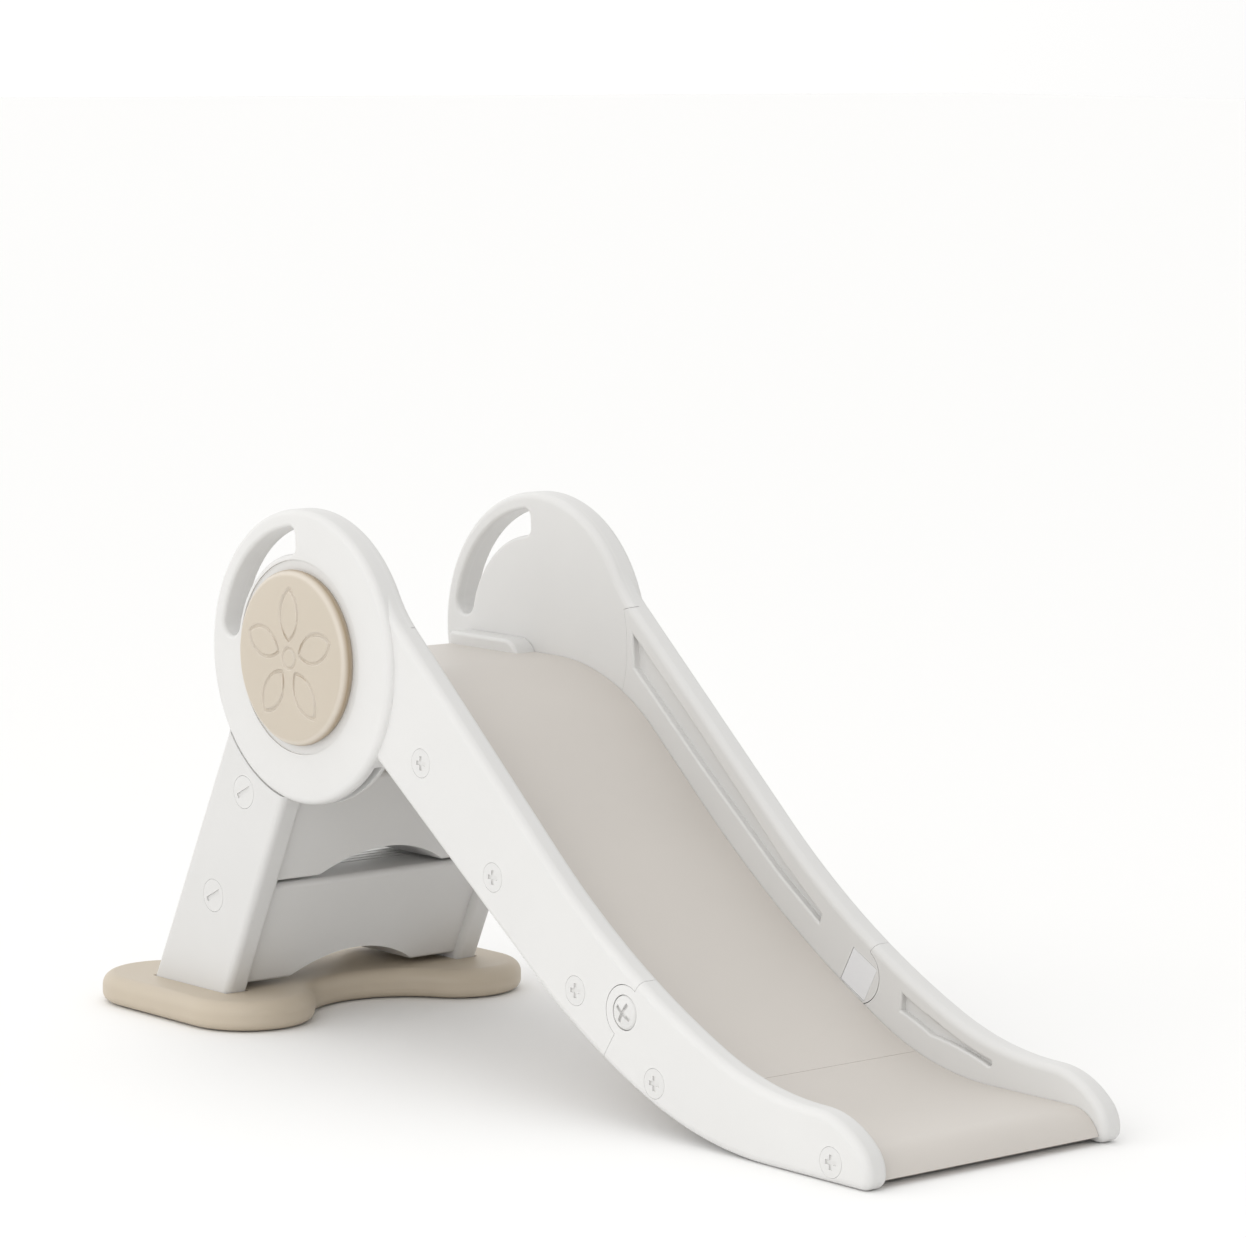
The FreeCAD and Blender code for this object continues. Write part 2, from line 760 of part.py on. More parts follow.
def chute_stations():
    """The sliding surface as stations (x, z, heading, radius of the arc that reaches it)."""
    back = (SIZES["platform_back_x"], SIZES["platform_z"])
    crest = (SIZES["platform_end_x"], SIZES["platform_z"])
    start = (SIZES["chute_start_x"], SIZES["chute_start_z"])
    fall = turned_heading(crest, 0, start)
    run = (SIZES["chute_line_end_x"] - start[0]) / math.cos(math.radians(fall))
    line_end = moved(start, fall, run)
    sweep = (SIZES["chute_sweep_x"], SIZES["chute_sweep_z"])
    ease = turned_heading(line_end, fall, sweep)
    drop = SIZES["trough_z"] - sweep[1]
    trough = (sweep[0] + drop / math.tan(math.radians(ease / 2)), SIZES["trough_z"])
    trough_radius = smooth_radius(sweep, ease, trough)
    seam_heading = math.asin((SIZES["bed_seam_x"] - trough[0]) / trough_radius)
    seam_z = trough[1] + trough_radius * (1 - math.cos(seam_heading))
    lip_start = (SIZES["lip_start_x"], SIZES["trough_z"])
    lip = SIZES["lip_radius"]
    lip_fall = SIZES["floor_drop"] - SIZES["lip_clearance"] + SIZES["trough_z"]
    lip_angle = math.degrees(math.acos((lip - lip_fall) / lip))
    lip_end = moved((lip_start[0], lip_start[1] - lip), 90 - lip_angle, lip)
    return [
        back + (0, None),
        crest + (0, None),
        start + (fall, smooth_radius(crest, 0, start)),
        line_end + (fall, None),
        sweep + (ease, smooth_radius(line_end, fall, sweep)),
        (SIZES["bed_seam_x"], seam_z, math.degrees(seam_heading), trough_radius),
        trough + (0, trough_radius),
        lip_start + (0, None),
        lip_end + (-lip_angle, -lip),
    ]


def slab_outline(stations, thickness):
    """A slab of even thickness under a run of surface stations."""
    corners = []
    for i, (x, z, direction, radius) in enumerate(stations):
        corners.append((x, z, radius) if radius and i else (x, z))
    under = [moved((x, z), direction - 90, thickness) for x, z, direction, radius in stations]
    corners.append(under[-1])
    for i in range(len(stations) - 1, 0, -1):
        radius = stations[i][3]
        corners.append(under[i - 1] + ((-(radius + thickness),) if radius else ()))
    return corners


def pad_across(body, inset, corners):
    """Pad an outline across the slide, an inset away from the outer faces on both sides."""
    sketch = side_sketch(body, LEFT, inset)
    draw_outline(sketch, corners)
    return add_pad(body, sketch, "2 * (Sizes.half_width - (%s))" % inset, True)


BED_INSET = "Sizes.depth_inner + Sizes.bed_side_gap"


def drill_bed(body, names):
    """Drill the edges of a bed for the chute screws of both sides."""
    centres = [point("screw_" + name) for name in names]
    for side in (LEFT, RIGHT):
        pocket_between(body, side, BED_INSET, "Sizes.depth_inner + Sizes.screw_grip",
                       radius="screw_shank_radius", centres=centres)


def flange_pegs(side):
    """Where the two pegs of a side flange plug into the platform, as (x, y)."""
    half = SIZES["half_width"] - SIZES["depth_inner"] - SIZES["bed_side_gap"]
    y = side * (half - SIZES["flange_width"] / 2)
    return [(SIZES["platform_back_x"] + 25, y), (SIZES["flange_end_x"] - 20, y)]


def upper_bed():
    """The platform with its rear apron, and the steep part of the chute."""
    body = new_body("upper_bed")
    stations = chute_stations()[:6]
    seam = stations[-1]
    shortened = moved(seam[:2], seam[2], -SIZES["seam_gap"])
    stations[-1] = shortened + seam[2:]
    pad_across(body, BED_INSET, slab_outline(stations, SIZES["bed_thickness"]))

    back = SIZES["platform_back_x"]
    top = SIZES["platform_z"]
    wall = 12
    apron_low = top - SIZES["apron_depth"]
    apron = [(back, apron_low), (back + wall, apron_low), (back + wall, top - 5), (back, top - 5)]
    pad_across(body, BED_INSET, apron)

    fillet_edges(body, "flange_fillet", lambda box, edge: (
        on_plane(box.XMin, box.XMax, back) and on_plane(box.ZMin, box.ZMax, top)))
    for side in (LEFT, RIGHT):
        sketch = new_sketch(body, "XY", "Sizes.platform_z")
        draw_circles(sketch, SIZES["flange_peg_radius"] + 0.1, flange_pegs(side))
        add_pocket(body, sketch, "Sizes.flange_peg_length + 0.4", False)
    drill_bed(body, "abcd")
    return body


def platform_flange(side):
    """The raised flange along one side of the platform, rounded on its inner top edge."""
    body = new_body("platform_flange_" + SIDE_NAME[side])
    back = SIZES["platform_back_x"]
    top = SIZES["platform_z"]
    corner = 7
    outline = [
        ("platform_back_x", "platform_z"),
        ("flange_foot_x", "platform_z"),
        ("flange_end_x", "flange_top_z", 27),
        (back + corner, "flange_top_z"),
        ("platform_back_x", SIZES["flange_top_z"] - corner, corner),
    ]
    pad_between(body, side, BED_INSET, BED_INSET + " + Sizes.flange_width", corners=outline)
    half = SIZES["half_width"] - SIZES["depth_inner"] - SIZES["bed_side_gap"]
    inner_face = side * (half - SIZES["flange_width"])
    fillet_edges(body, "flange_fillet", lambda box, edge: (
        on_plane(box.YMin, box.YMax, inner_face)
        and box.XMin > back - 1 and box.ZMax > top + 1 and box.ZMin > top - 1
        and not on_plane(box.XMin, box.XMax, back)))
    sketch = new_sketch(body, "XY", "Sizes.platform_z")
    draw_circles(sketch, "flange_peg_radius", flange_pegs(side))
    add_pad(body, sketch, "Sizes.flange_peg_length", True)
    return body


def lower_bed():
    """The flat run-out of the chute, with a rounded lip at the exit."""
    body = new_body("lower_bed")
    stations = chute_stations()[5:]
    pad_across(body, BED_INSET, slab_outline(stations, SIZES["bed_thickness"]))
    drill_bed(body, "e")
    return body


# ---------------------------------------------------------------- fasteners and pivots of the slide

def plus_outline(centre, length, width, turn):
    """A plus sign about a centre, turned by an angle."""
    long, short = length / 2, width / 2
    arm = [(long, -short), (long, short), (short, short)]
    corners = []
    for quarter in range(4):
        for x, z in arm:
            corners.append(moved(centre, turn + 90 * quarter + math.degrees(math.atan2(z, x)),
                                 math.hypot(x, z)))
    return corners


def rail_screws(side):
    """The five chute screws of one side, with broad plus-slotted heads."""
    body = new_body("rail_screws_" + SIDE_NAME[side])
    centres = [point("screw_" + name) for name in "abcde"]
    head_floor = "Sizes.depth_rail + Sizes.screw_head_thick"
    pad_between(body, side, "Sizes.depth_rail", head_floor,
                radius="screw_head_radius", centres=centres)
    pad_between(body, side, head_floor, "Sizes.depth_inner + Sizes.screw_grip",
                radius="screw_shank_radius", centres=centres)
    sketch = side_sketch(body, side, "Sizes.depth_rail")
    for centre in centres:
        draw_outline(sketch, plus_outline(centre, 16, 5, 0))
    add_pocket(body, sketch, "Sizes.recess_depth", side == RIGHT)
    return body


def turned_part(name, side, profile, at=None):
    """A part turned about the Y axis from a profile of (radius, depth, arc radius) corners."""
    body = new_body(name + "_" + SIDE_NAME[side], at)
    corners = []
    for radius, depth, *arc in profile:
        corners.append((radius, depth_to_y(side, depth)) + tuple(-side * a for a in arc))
    revolve(body, corners)
    return body


def joint_knob(side):
    """The domed knob bolt of the half-lap joint, with a cross recess along the rail."""
    radius = SIZES["knob_radius"]
    shank = SIZES["knob_shank_radius"]
    seat = SIZES["depth_rail"] + SIZES["knob_seat_depth"]
    body = turned_part("joint_knob", side, [
        (0, 2.2),
        (radius - 5, 4.5, 44),
        (radius, 9, 5),
        (radius, seat),
        (shank, seat),
        (shank, SIZES["knob_end_depth"]),
        (0, SIZES["knob_end_depth"]),
    ], at="joint")
    sketch = side_sketch(body, side, "0")
    draw_outline(sketch, plus_outline((0, 0), 24, 4.5, SIZES["joint_slope"]))
    add_pocket(body, sketch, "Sizes.knob_recess_depth", side == RIGHT)
    return body


def joint_plate(side):
    """The square plate on the inner face that the knob bolt screws into."""
    body = new_body("joint_plate_" + SIDE_NAME[side], "joint")
    pad_between(body, side, "Sizes.depth_inner - Sizes.plate_seat_depth", "Sizes.depth_inner - 0.4",
                corners=square_outline(SIZES["plate_side"], (0, 0)))
    pocket_between(body, side, "Sizes.depth_inner - Sizes.plate_seat_depth",
                   "Sizes.knob_end_depth",
                   radius="knob_shank_radius", centres=[(0, 0)])
    return body


def medallion_cap(side):
    """The domed medallion cap over the pivot, a thin shell seated in the round head."""
    radius = SIZES["cap_radius"]
    wall = SIZES["cap_wall"]
    rim = SIZES["cap_rim_radius"]
    flat = SIZES["cap_flat_radius"]
    waist = SIZES["cap_waist_rise"]
    foot = radius - SIZES["cap_tuck"]
    slope_drop = SIZES["cap_rise"] - waist - rim
    slope_run = radius - rim - flat
    fall = (slope_run ** 2 + slope_drop ** 2) / (2 * slope_drop)
    return turned_part("medallion_cap", side, [
        (0, -SIZES["cap_rise"]),
        (flat, -SIZES["cap_rise"]),
        (radius - rim, -waist - rim, fall),
        (radius, -waist, rim),
        (foot, 0),
        (foot, SIZES["seat_depth"]),
        (foot - wall, SIZES["seat_depth"]),
        (foot - wall, 0),
        (radius - wall, -waist),
        (radius - rim, wall - waist - rim, wall - rim),
        (flat, wall - SIZES["cap_rise"], wall - fall),
        (0, wall - SIZES["cap_rise"]),
    ])


def pivot_pin(side):
    """The pivot stud, held by its flange behind the leg and by its nut under the cap."""
    pin = SIZES["pin_radius"]
    flange = SIZES["pin_flange_radius"]
    flange_start = SIZES["depth_gap_inner"] + 0.2
    flange_end = SIZES["depth_gap_inner"] + SIZES["pin_flange_thick"]
    return turned_part("pivot_pin", side, [
        (0, SIZES["nut_top_depth"]),
        (pin, SIZES["nut_top_depth"]),
        (pin, flange_start),
        (flange, flange_start),
        (flange, flange_end),
        (pin, flange_end),
        (pin, SIZES["pin_end_depth"]),
        (0, SIZES["pin_end_depth"]),
    ])


def ring_part(name, side, inner, outer, start, end):
    """A plain ring about the pivot axis."""
    return turned_part(name, side, [(inner, start), (outer, start), (outer, end), (inner, end)])


def pivot_nut(side):
    """The hexagon nut on the outer end of the pivot stud."""
    body = new_body("pivot_nut_" + SIDE_NAME[side])
    reach = SIZES["nut_flats"] / math.sqrt(3)
    corners = [polar(reach, 60 * i) for i in range(6)]
    pad_between(body, side, "Sizes.nut_top_depth", "Sizes.nut_base_depth", corners=corners)
    pocket_between(body, side, "Sizes.nut_top_depth", "Sizes.nut_base_depth",
                   radius="pin_radius", centres=[(0, 0)])
    return body


# ---------------------------------------------------------------- ladder

def leg_edge(which, z, inset=0):
    """The x of the leg's back or front edge at a height."""
    x0, z0 = SIZES["leg_%s_top_x" % which], SIZES["leg_%s_top_z" % which]
    x1, z1 = SIZES["leg_%s_low_x" % which], SIZES["leg_%s_low_z" % which]
    return x0 + (z - z0) * (x1 - x0) / (z1 - z0) + inset


def leg_outline(top_z, low_z, grow=0):
    """The leg between two heights, grown by a clearance."""
    return [
        (leg_edge("back", low_z, -grow), low_z),
        (leg_edge("front", low_z, grow), low_z),
        (leg_edge("front", top_z, grow), top_z),
        (leg_edge("back", top_z, -grow), top_z),
    ]


def step_centres():
    """The two bolt lines of the steps."""
    return [point("upper_step"), point("lower_step")]


def leg(side):
    """A leg: a broad plate below the head, and a thin round tongue that turns inside it."""
    body = new_body("leg_" + SIDE_NAME[side])
    pivot = [(0, 0)]
    pad_between(body, side, "Sizes.leg_outer_depth", "Sizes.leg_inner_depth",
                corners=leg_outline(-70, SIZES["leg_end_z"]))
    pocket_between(body, side, "Sizes.leg_outer_depth", "Sizes.leg_inner_depth",
                   radius="shoulder_radius", centres=pivot)
    faces = [depth_to_y(side, "leg_outer_depth"), depth_to_y(side, "leg_inner_depth")]

    def on_long_edge(box, edge):
        flat = any(on_plane(box.YMin, box.YMax, y) for y in faces)
        return flat and box.ZMax - box.ZMin > 200

    fillet_edges(body, "leg_fillet", on_long_edge)
    pad_between(body, side, "Sizes.tongue_outer_depth", "Sizes.tongue_inner_depth",
                radius="tongue_radius", centres=pivot)
    neck = arc_band(SIZES["tongue_radius"] - 15, SIZES["shoulder_radius"] + 4.5,
                    SIZES["neck_start_angle"], SIZES["neck_end_angle"])
    pad_between(body, side, "Sizes.tongue_outer_depth", "Sizes.tongue_inner_depth", corners=neck)
    pocket_between(body, side, "Sizes.tongue_outer_depth", "Sizes.tongue_inner_depth",
                   radius="bush_radius", centres=pivot)

    centres = step_centres()
    cover_floor = "Sizes.leg_outer_depth + Sizes.cover_thick + 0.2"
    head_floor = cover_floor + " + Sizes.bolt_head_thick"
    pocket_between(body, side, "Sizes.leg_outer_depth", cover_floor,
                   radius=SIZES["cover_radius"] + 0.4, centres=centres)
    pocket_between(body, side, cover_floor, head_floor,
                   radius=SIZES["bolt_head_radius"] + 0.4, centres=centres)
    pocket_between(body, side, head_floor, "Sizes.leg_inner_depth",
                   radius="bolt_radius", centres=centres)
    sketch = new_sketch(body, "XY", "Sizes.leg_end_z")
    draw_circles(sketch, "base_screw_radius", base_screw_centres(side))
    add_pocket(body, sketch, "Sizes.base_screw_top_z - Sizes.leg_end_z", True)
    return body


def leg_covers(side):
    """The two coin-slotted covers over the step bolts of one leg."""
    body = new_body("leg_covers_" + SIDE_NAME[side])
    centres = step_centres()
    cover_floor = "Sizes.leg_outer_depth + Sizes.cover_thick"
    pad_between(body, side, "Sizes.leg_outer_depth", cover_floor,
                radius="cover_radius", centres=centres)
    sketch = side_sketch(body, side, "Sizes.leg_outer_depth")
    long = 13.5
    short = 3
    for centre in centres:
        corners = []
        for x, z in ((long, -short), (long, short), (-long, short), (-long, -short)):
            angle = SIZES["coin_slot_turn"] + math.degrees(math.atan2(z, x))
            corners.append(moved(centre, angle, math.hypot(x, z)))
        draw_outline(sketch, corners)
    add_pocket(body, sketch, "Sizes.recess_depth", side == RIGHT)
    return body


def step_bolts(side):
    """The two bolts that hold the steps to one leg."""
    body = new_body("step_bolts_" + SIDE_NAME[side])
    centres = step_centres()
    head_start = "Sizes.leg_outer_depth + Sizes.cover_thick + 0.2"
    head_floor = head_start + " + Sizes.bolt_head_thick"
    pad_between(body, side, head_start, head_floor, radius="bolt_head_radius", centres=centres)
    pad_between(body, side, head_floor, "Sizes.leg_inner_depth + Sizes.bolt_grip",
                radius="bolt_radius", centres=centres)
    return body


def step(name):
    """A deep moulded step with an overhanging tread nose and an arched lower edge."""
    body = new_body(name)
    centre_z = SIZES[name + "_z"]
    top = centre_z + SIZES["tread_rise"]
    low = centre_z - SIZES["step_drop"]
    nose_low = top - 26
    nose_x = leg_edge("back", top, -SIZES["tread_nose"])
    outline = [
        (leg_edge("back", low, 8), low),
        (leg_edge("front", low, -10), low),
        (leg_edge("front", top, -10), top),
        (nose_x, top),
        (nose_x, nose_low),
        (leg_edge("back", nose_low, 8), nose_low),
    ]
    inset = "Sizes.leg_inner_depth"
    pad_across(body, inset, outline)
    fillet_edges(body, "step_fillet", lambda box, edge: (
        box.YMax - box.YMin > 200 and (box.ZMin > nose_low - 1 and box.XMax < nose_x + 1
                                       or box.XMin > leg_edge("front", low, -12))))

    relief = SIZES["head_radius"] + 1.5
    if math.hypot(leg_edge("front", top, -10), top) < relief:
        for side in (LEFT, RIGHT):
            pocket_between(body, side, inset, "Sizes.depth_inner + 0.5",
                           radius=relief, centres=[(0, 0)])

    sketch = new_sketch(body, "YZ", "-450")
    half = SIZES["arch_half_width"]
    rise = SIZES["arch_rise"]
    radius = (half * half + rise * rise) / (2 * rise)
    draw_outline(sketch, [(-half, low - 5), (half, low - 5), (half, low), (-half, low, radius)])
    add_pocket(body, sketch, "500", True)

    sketch = side_sketch(body, LEFT, inset + " + 18")
    for i in range(6):
        x = nose_x + 14 + 14 * i
        draw_outline(sketch, [(x, top - 1.2), (x + 4, top - 1.2), (x + 4, top + 1), (x, top + 1)])
    add_pocket(body, sketch, "2 * (Sizes.half_width - Sizes.leg_inner_depth - 18)", False)

    for side in (LEFT, RIGHT):
        pocket_between(body, side, inset, inset + " + Sizes.bolt_grip",
                       radius="bolt_radius", centres=[point(name)])
    return body


def foot_centres():
    """The centres of the four round corners of the base, as (x, y)."""
    return [(x, y) for x in (SIZES["toe_x"], SIZES["heel_x"])
            for y in (SIZES["foot_y"], -SIZES["foot_y"])]


def base_outline():
    """The base in plan: two broad feet joined by a waist, symmetric about both middle lines."""
    radius = SIZES["foot_radius"]
    foot_y = -SIZES["foot_y"]
    toe = SIZES["toe_x"]
    heel = SIZES["heel_x"]
    front_offset = toe - SIZES["waist_front_x"]
    waist = (front_offset ** 2 + foot_y ** 2 - radius ** 2) / (2 * (radius + front_offset))
    reach = radius + waist
    along_x = (waist - front_offset) / reach * radius
    along_y = foot_y / reach * radius
    join_y = foot_y - along_y
    return [
        (toe + along_x, join_y, -waist),
        (toe + radius, foot_y, radius),
        (toe, foot_y + radius, radius),
        (heel, foot_y + radius),
        (heel - radius, foot_y, radius),
        (heel - along_x, join_y, radius),
        (heel - along_x, -join_y, -waist),
        (heel - radius, -foot_y, radius),
        (heel, -foot_y - radius, radius),
        (toe, -foot_y - radius),
        (toe + radius, -foot_y, radius),
        (toe + along_x, -join_y, radius),
    ]


def ladder_base():
    """The broad base with rounded edges and a socket for each leg."""
    body = new_body("ladder_base")
    sketch = new_sketch(body, "XY", "Sizes.base_bottom_z")
    draw_outline(sketch, base_outline())
    add_pad(body, sketch, "Sizes.base_top_z - Sizes.base_bottom_z", False)
    for edge_z, radius in (("base_top_z", "base_top_fillet"), ("base_bottom_z", "base_bottom_fillet")):
        level = SIZES[edge_z]
        fillet_edges(body, radius, lambda box, edge: on_plane(box.ZMin, box.ZMax, level))
    for side in (LEFT, RIGHT):
        pocket_between(body, side, "Sizes.leg_outer_depth - 0.6", "Sizes.leg_inner_depth + 0.6",
                       corners=leg_outline(-380, SIZES["leg_end_z"], 0.6))
        sketch = new_sketch(body, "XY", "Sizes.base_bottom_z")
        draw_circles(sketch, "base_screw_radius", base_screw_centres(side))
        add_pocket(body, sketch, "Sizes.base_top_z - Sizes.base_bottom_z", True)
        sketch = new_sketch(body, "XY", "Sizes.base_bottom_z")
        draw_circles(sketch, SIZES["base_screw_head_radius"] + 0.4, base_screw_centres(side))
        add_pocket(body, sketch, "Sizes.base_screw_seat_depth", True)
    sketch = new_sketch(body, "XY", "Sizes.base_bottom_z")
    draw_circles(sketch, SIZES["pad_radius"] + 0.2, foot_centres())
    add_pocket(body, sketch, "Sizes.pad_thick - (Sizes.floor_drop + Sizes.base_bottom_z)", True)
    return body


def base_screw_centres(side):
    """The two screws that hold a leg in its socket, as (x, y)."""
    y = (depth_to_y(side, "leg_outer_depth") + depth_to_y(side, "leg_inner_depth")) / 2
    return [("base_screw_front_x", y), ("base_screw_back_x", y)]


def base_screws():
    """The four screws driven up through the base into the legs."""
    body = new_body("base_screws")
    centres = base_screw_centres(LEFT) + base_screw_centres(RIGHT)
    sketch = new_sketch(body, "XY", "Sizes.base_bottom_z + Sizes.base_screw_seat_depth")
    draw_circles(sketch, "base_screw_head_radius", centres)
    add_pad(body, sketch, "Sizes.base_screw_seat_depth - 0.5", True)
    sketch = new_sketch(body, "XY", "Sizes.base_bottom_z + Sizes.base_screw_seat_depth")
    draw_circles(sketch, "base_screw_radius", centres)
    add_pad(body, sketch,
            "Sizes.base_screw_top_z - Sizes.base_bottom_z - Sizes.base_screw_seat_depth", False)
    return body


def base_pads():
    """The four rubber pads that the base stands on."""
    body = new_body("base_pads")
    sketch = new_sketch(body, "XY", "-Sizes.floor_drop")
    draw_circles(sketch, "pad_radius", foot_centres())
    add_pad(body, sketch, "Sizes.pad_thick", False)
    return body


# ---------------------------------------------------------------- the whole slide

for side in (LEFT, RIGHT):
    upper_panel(side)
    lower_panel(side)
    head_cover(side)
    medallion_cap(side)
    pivot_pin(side)
    ring_part("pivot_washer", side, SIZES["pin_radius"], SIZES["washer_radius"],
              SIZES["nut_base_depth"], SIZES["seat_depth"])
    pivot_nut(side)
    rail_screws(side)
    joint_knob(side)
    joint_plate(side)
    leg(side)
    ring_part("pivot_bush", side, SIZES["pin_radius"] + SIZES["bush_clearance"],
              SIZES["bush_radius"], SIZES["tongue_outer_depth"], SIZES["tongue_inner_depth"])
    leg_covers(side)
    step_bolts(side)
upper_bed()
platform_flange(LEFT)
platform_flange(RIGHT)
lower_bed()
step("upper_step")
step("lower_step")
ladder_base()
base_screws()
base_pads()
doc.recompute()

for item in doc.Objects:
    if "Invalid" in item.State or "Error" in item.State:
        raise RuntimeError("%s failed: %s" % (item.Label, item.State))
os.makedirs("parts", exist_ok=True)
for node in NODES:
    if node.Shape.isNull() or not node.Shape.isValid():
        raise RuntimeError("bad shape: " + node.Label)
    node.Shape.exportStep("parts/%s.step" % node.Label)
    box = node.Shape.BoundBox
    print("%-22s solids %d  volume %9.0f  x %7.1f %7.1f  y %7.1f %7.1f  z %6.1f %6.1f" % (
        node.Label, len(node.Shape.Solids), node.Shape.Volume,
        box.XMin, box.XMax, box.YMin, box.YMax, box.ZMin, box.ZMax))
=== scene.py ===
import json
import math

import bmesh
import bpy
import numpy as np
from mathutils import Matrix, Vector


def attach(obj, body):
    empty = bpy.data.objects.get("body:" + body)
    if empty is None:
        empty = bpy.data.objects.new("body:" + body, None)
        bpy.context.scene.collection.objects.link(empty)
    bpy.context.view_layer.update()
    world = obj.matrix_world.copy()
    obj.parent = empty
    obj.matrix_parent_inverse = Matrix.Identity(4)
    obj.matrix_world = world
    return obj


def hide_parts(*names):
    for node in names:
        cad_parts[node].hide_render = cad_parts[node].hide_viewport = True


# The looks of a folding toddler slide: moulded plastic in off-white, warm grey and beige, with two
# engraved medallions over the pivots.  Lengths are in metres, in the frame of the CAD model.

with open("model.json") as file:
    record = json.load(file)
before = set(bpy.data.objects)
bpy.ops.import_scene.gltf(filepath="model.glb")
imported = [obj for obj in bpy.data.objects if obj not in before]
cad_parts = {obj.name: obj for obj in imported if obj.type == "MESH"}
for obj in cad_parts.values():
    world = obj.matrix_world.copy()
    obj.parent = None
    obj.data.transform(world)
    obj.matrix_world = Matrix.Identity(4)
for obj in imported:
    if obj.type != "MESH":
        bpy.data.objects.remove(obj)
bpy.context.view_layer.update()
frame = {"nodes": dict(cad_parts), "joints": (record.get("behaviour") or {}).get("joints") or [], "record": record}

SIDES = {"left": -1, "right": 1}
PIVOT = Vector(frame["joints"][0]["pos_m"])
HEAD_FACE_Y = 0.190


# ---------------------------------------------------------------- camera

VIEW_AZIMUTH = math.radians(49.27)
VIEW_ELEVATION = math.radians(6.91)
VIEW_ROLL = math.radians(0.44)
VIEW_DISTANCE = 5.5269
VIEW_OFFSET = (0.366735, 0.04347)
LENS = 141.2
SENSOR_WIDTH = 36
CLIP_NEAR = 0.1
CLIP_FAR = 500


def make_camera():
    """A long lens at the height of the heads, a little left of the exit."""
    right = Vector((math.cos(VIEW_AZIMUTH), math.sin(VIEW_AZIMUTH), 0))
    forward = Vector((-math.sin(VIEW_AZIMUTH) * math.cos(VIEW_ELEVATION),
                      math.cos(VIEW_AZIMUTH) * math.cos(VIEW_ELEVATION),
                      -math.sin(VIEW_ELEVATION)))
    up = right.cross(forward)
    cos = math.cos(VIEW_ROLL)
    sin = math.sin(VIEW_ROLL)
    camera_x = right * cos + up * sin
    camera_y = up * cos - right * sin
    target = PIVOT - Vector((0, HEAD_FACE_Y, 0))
    place = (target - forward * VIEW_DISTANCE
             + camera_x * VIEW_OFFSET[0] + camera_y * VIEW_OFFSET[1])
    data = bpy.data.cameras.new("camera")
    data.lens = LENS
    data.sensor_width = SENSOR_WIDTH
    data.clip_start = CLIP_NEAR
    data.clip_end = CLIP_FAR
    camera = bpy.data.objects.new("camera", data)
    turn = Matrix((camera_x, camera_y, -forward)).transposed()
    camera.matrix_world = Matrix.Translation(place) @ turn.to_4x4()
    bpy.context.scene.collection.objects.link(camera)
    bpy.context.scene.camera = camera


# ---------------------------------------------------------------- shader nodes

def add_node(tree, kind, values=None, **settings):
    """A shader node with some of its inputs and settings given."""
    node = tree.nodes.new(kind)
    for name, value in (values or {}).items():
        node.inputs[name].default_value = value
    for name, value in settings.items():
        setattr(node, name, value)
    return node


def new_material(name, colour, roughness, metallic=0.0):
    """A material with a principled shader, and its node tree."""
    material = bpy.data.materials.new(name)
    material.use_nodes = True
    tree = material.node_tree
    shader = tree.nodes["Principled BSDF"]
    shader.inputs["Base Color"].default_value = (*colour, 1)
    shader.inputs["Roughness"].default_value = roughness
    shader.inputs["Metallic"].default_value = metallic
    return material, shader, tree


def noise(tree, coordinates, scale, detail=2.0, roughness=0.5):
    """The value of a noise texture at some coordinates."""
    node = add_node(tree, "ShaderNodeTexNoise",
                    {"Scale": scale, "Detail": detail, "Roughness": roughness})
    tree.links.new(coordinates, node.inputs["Vector"])
    return node.outputs["Fac"]


def remap(tree, value, low, high, to_low, to_high):
    """A value carried from one range to another, clamped."""
    node = add_node(tree, "ShaderNodeMapRange", {
        "From Min": low, "From Max": high, "To Min": to_low, "To Max": to_high})
    tree.links.new(value, node.inputs["Value"])
    return node.outputs["Result"]


def mix_colour(tree, factor, first, second):
    """Two colours, or colour sockets, mixed by a factor socket."""
    node = add_node(tree, "ShaderNodeMix", data_type="RGBA")
    tree.links.new(factor, node.inputs["Factor"])
    # a Mix node keeps its colour sockets at inputs 6 and 7 and at output 2
    for socket, value in ((node.inputs[6], first), (node.inputs[7], second)):
        if isinstance(value, tuple):
            socket.default_value = (*value, 1)
        else:
            tree.links.new(value, socket)
    return node.outputs[2]


def bump(tree, height, strength, distance, under=None):
    """The normal of a bump from a height socket, on top of another bump's normal if given."""
    node = add_node(tree, "ShaderNodeBump", {"Strength": strength, "Distance": distance})
    tree.links.new(height, node.inputs["Height"])
    if under is not None:
        tree.links.new(under, node.inputs["Normal"])
    return node.outputs["Normal"]


def shade(colour, factor):
    """A colour made lighter or darker."""
    return tuple(min(1.0, c * factor) for c in colour)


# ---------------------------------------------------------------- light and floor

BRIGHT_SIDE = Vector((-0.72, -0.60, 0.35))
SURROUND_COLOUR = (1.0, 0.997, 0.99)
SURROUND_STRENGTH = (0.58, 1.36)
KEY_PLACE = (-1.9, -3.4, 2.2)
KEY_AIM = (0.0, 0.0, 0.25)
KEY_SIZE = 2.6
KEY_POWER = 6
KEY_COLOUR = (1.0, 0.99, 0.97)
FILL_PLACE = (1.9, -2.9, 1.6)
FILL_AIM = (-0.25, 0.15, 0.4)
FILL_SIZE = 1.6
FILL_POWER = 15
FILL_COLOUR = (1.0, 1.0, 1.0)
FLOOR_COLOUR = (0.925, 0.923, 0.918)
FLOOR_ROUGHNESS = 0.8
FLOOR_ROUGHNESS_SWING = 0.06
FLOOR_NOISE_SCALE = 1.5
FLOOR_HALF_WIDTH = 60
FLOOR_DROP = 0.0005


